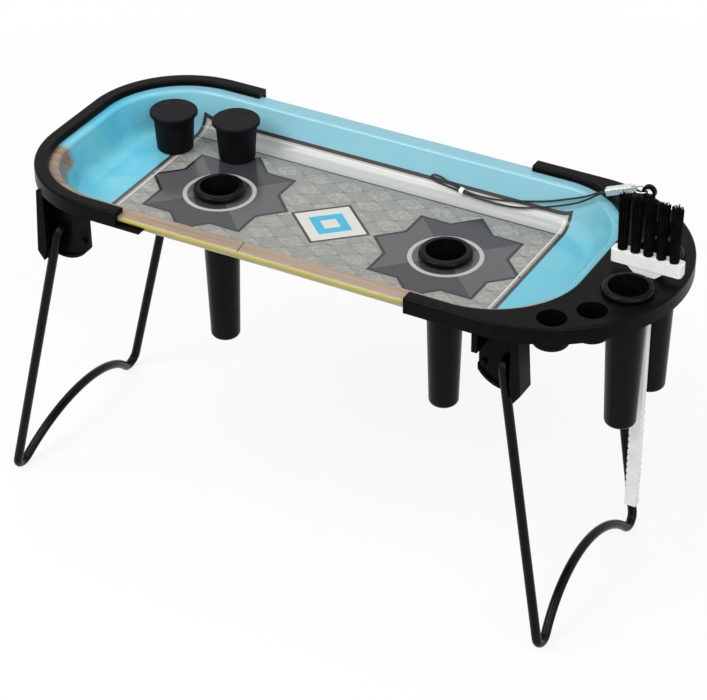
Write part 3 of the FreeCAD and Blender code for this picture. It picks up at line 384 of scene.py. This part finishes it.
def fibre_bundle(low, top, draw):
    """Points and faces of the fibres that fill a tuft's box, closer together at the root."""
    middle = (low + top) / 2
    spread = (top.x - low.x) / 2 - BUNDLE_INSET * MM
    points, faces = [], []
    for fibre in range(FIBRES):
        reach = math.sqrt((fibre + 0.5) / FIBRES)
        turn = fibre * GOLDEN_ANGLE + draw.uniform(-0.2, 0.2)
        lean = Vector((math.cos(turn), math.sin(turn), 0)) * reach
        sway = Vector((draw.uniform(-1, 1), draw.uniform(-1, 1), 0)) * FIBRE_SWAY * MM
        tip_z = top.z - draw.uniform(0.0, TIP_UNEVEN) * MM
        first = len(points)
        for ring in range(FIBRE_RINGS):
            share = ring / (FIBRE_RINGS - 1)
            widen = ROOT_SPREAD + (1 - ROOT_SPREAD) * share
            centre = middle + lean * spread * widen + sway * share * (1 - reach)
            centre.z = low.z + (tip_z - low.z) * share
            thick = (FIBRE_ROOT + (FIBRE_TIP - FIBRE_ROOT) * share) * MM
            for side in range(FIBRE_SIDES):
                angle = math.tau * side / FIBRE_SIDES
                points.append(centre + Vector((math.cos(angle), math.sin(angle), 0)) * thick)
        for ring in range(FIBRE_RINGS - 1):
            start = first + ring * FIBRE_SIDES
            for side in range(FIBRE_SIDES):
                here, beside = start + side, start + (side + 1) % FIBRE_SIDES
                faces.append((here, beside, beside + FIBRE_SIDES, here + FIBRE_SIDES))
        last = first + (FIBRE_RINGS - 1) * FIBRE_SIDES
        faces.append(tuple(range(last, last + FIBRE_SIDES)))
        faces.append(tuple(range(first + FIBRE_SIDES - 1, first - 1, -1)))
    return points, faces


bristle_black = plain_look("bristle_look", rgb(4, 4, 5), rgb(14, 14, 15), 0.5, 0.05, 0.42, specular=0.06)
draw = random.Random(5)
for name in [node for node in nodes if node.startswith("brush_tuft_")]:
    points, faces = fibre_bundle(*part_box(name), draw)
    mesh = bpy.data.meshes.new("fibres_" + name[-1])
    mesh.from_pydata(points, [], faces)
    mesh.materials.append(bristle_black)
    bundle = bpy.data.objects.new("bristles_" + name[-1], mesh)
    scene.collection.objects.link(bundle)
    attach(bundle, "brush")
    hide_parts(name)

# Floor and background: white wherever they are seen, with a faint shadow round the legs
FLOOR_HALF = 4.0
FLOOR_BOUNCE = 0.4
FLOOR_SHADE = 0.5
SHADOW_SHARE = 0.15
SKY_DIM = 0.16
SKY_SPAN = 0.44
FLOOR_GAP = 0.3


def seen_ray(tree):
    """1 for rays that show the background: straight, mirrored or through glass."""
    path = tree.nodes.new("ShaderNodeLightPath")
    seen = Field(tree, path.outputs["Is Camera Ray"])
    for kind in ("Is Glossy Ray", "Is Transmission Ray"):
        seen = seen.high(Field(tree, path.outputs[kind]))
    return seen


def spot_fields(tree, kind):
    """X, Y and Z of the shaded spot, by the named output of the texture coordinates."""
    where = tree.nodes.new("ShaderNodeTexCoord")
    split = tree.nodes.new("ShaderNodeSeparateXYZ")
    tree.links.new(where.outputs[kind], split.inputs[0])
    return [Field(tree, socket) for socket in split.outputs]


def blend_shaders(tree, mask, first, second, output):
    node = tree.nodes.new("ShaderNodeMixShader")
    tree.links.new(mask.socket, node.inputs[0])
    tree.links.new(first.outputs[0], node.inputs[1])
    tree.links.new(second.outputs[0], node.inputs[2])
    tree.links.new(node.outputs[0], tree.nodes[output].inputs["Surface"])


def paper_look():
    """Matte paper that glows white where it is seen, less so near the object, for its shadow."""
    material = bpy.data.materials.new("paper")
    material.use_nodes = True
    tree = material.node_tree
    matte = tree.nodes["Principled BSDF"]
    matte.inputs["Roughness"].default_value = 0.9
    matte.inputs["Specular IOR Level"].default_value = 0.0
    glow = tree.nodes.new("ShaderNodeEmission")
    seen = seen_ray(tree)
    grey = seen * FLOOR_SHADE + FLOOR_BOUNCE
    shade = tree.nodes.new("ShaderNodeCombineColor")
    for channel in shade.inputs:
        tree.links.new(grey.socket, channel)
    tree.links.new(shade.outputs[0], matte.inputs["Base Color"])
    x, y, _ = spot_fields(tree, "Object")
    far = (x * x + y * y).op("SQRT").ramp(0.3, 0.9)
    blend_shaders(tree, seen * (far * SHADOW_SHARE + (1 - SHADOW_SHARE)), matte, glow, "Material Output")
    return material


def studio_world():
    """Light that is dimmer from behind the object, on a white background."""
    world = bpy.data.worlds.new("studio")
    world.use_nodes = True
    tree = world.node_tree
    sky = tree.nodes["Background"]
    sky.inputs["Color"].default_value = (1, 1, 1, 1)
    _, y, _ = spot_fields(tree, "Generated")
    strength = y.ramp(0.6, -0.5) * SKY_SPAN + SKY_DIM
    tree.links.new(strength.socket, sky.inputs["Strength"])
    bare = tree.nodes.new("ShaderNodeBackground")
    bare.inputs["Color"].default_value = (1, 1, 1, 1)
    blend_shaders(tree, seen_ray(tree), sky, bare, "World Output")
    return world


floor_mesh = bpy.data.meshes.new("floor")
corners = [(x * FLOOR_HALF, y * FLOOR_HALF, 0) for x, y in ((-1, -1), (1, -1), (1, 1), (-1, 1))]
floor_mesh.from_pydata(corners, [], [(0, 1, 2, 3)])
floor_mesh.materials.append(paper_look())
floor = bpy.data.objects.new("floor", floor_mesh)
floor.location.z = -FLOOR_GAP * MM
scene.collection.objects.link(floor)
scene.world = studio_world()

# Soft studio lights: place, aim, size and power
LIGHTS = {
    "key_light": ((-0.7, -0.9, 1.5), (0, 0, 0.2), 0.9, 16.5),
    "fill_light": ((1.15, -0.85, 1.2), (0, 0, 0.15), 1.3, 16.0),
    "top_light": ((-0.2, 0.5, 1.9), (0, 0, 0.2), 0.8, 5.0),
}
for name, (place, aim, size, power) in LIGHTS.items():
    lamp = bpy.data.lights.new(name, "AREA")
    lamp.size = size
    lamp.energy = power
    holder = bpy.data.objects.new(name, lamp)
    holder.location = place
    holder.rotation_euler = (Vector(aim) - Vector(place)).to_track_quat("-Z", "Y").to_euler()
    scene.collection.objects.link(holder)

scene.view_settings.view_transform = "Standard"
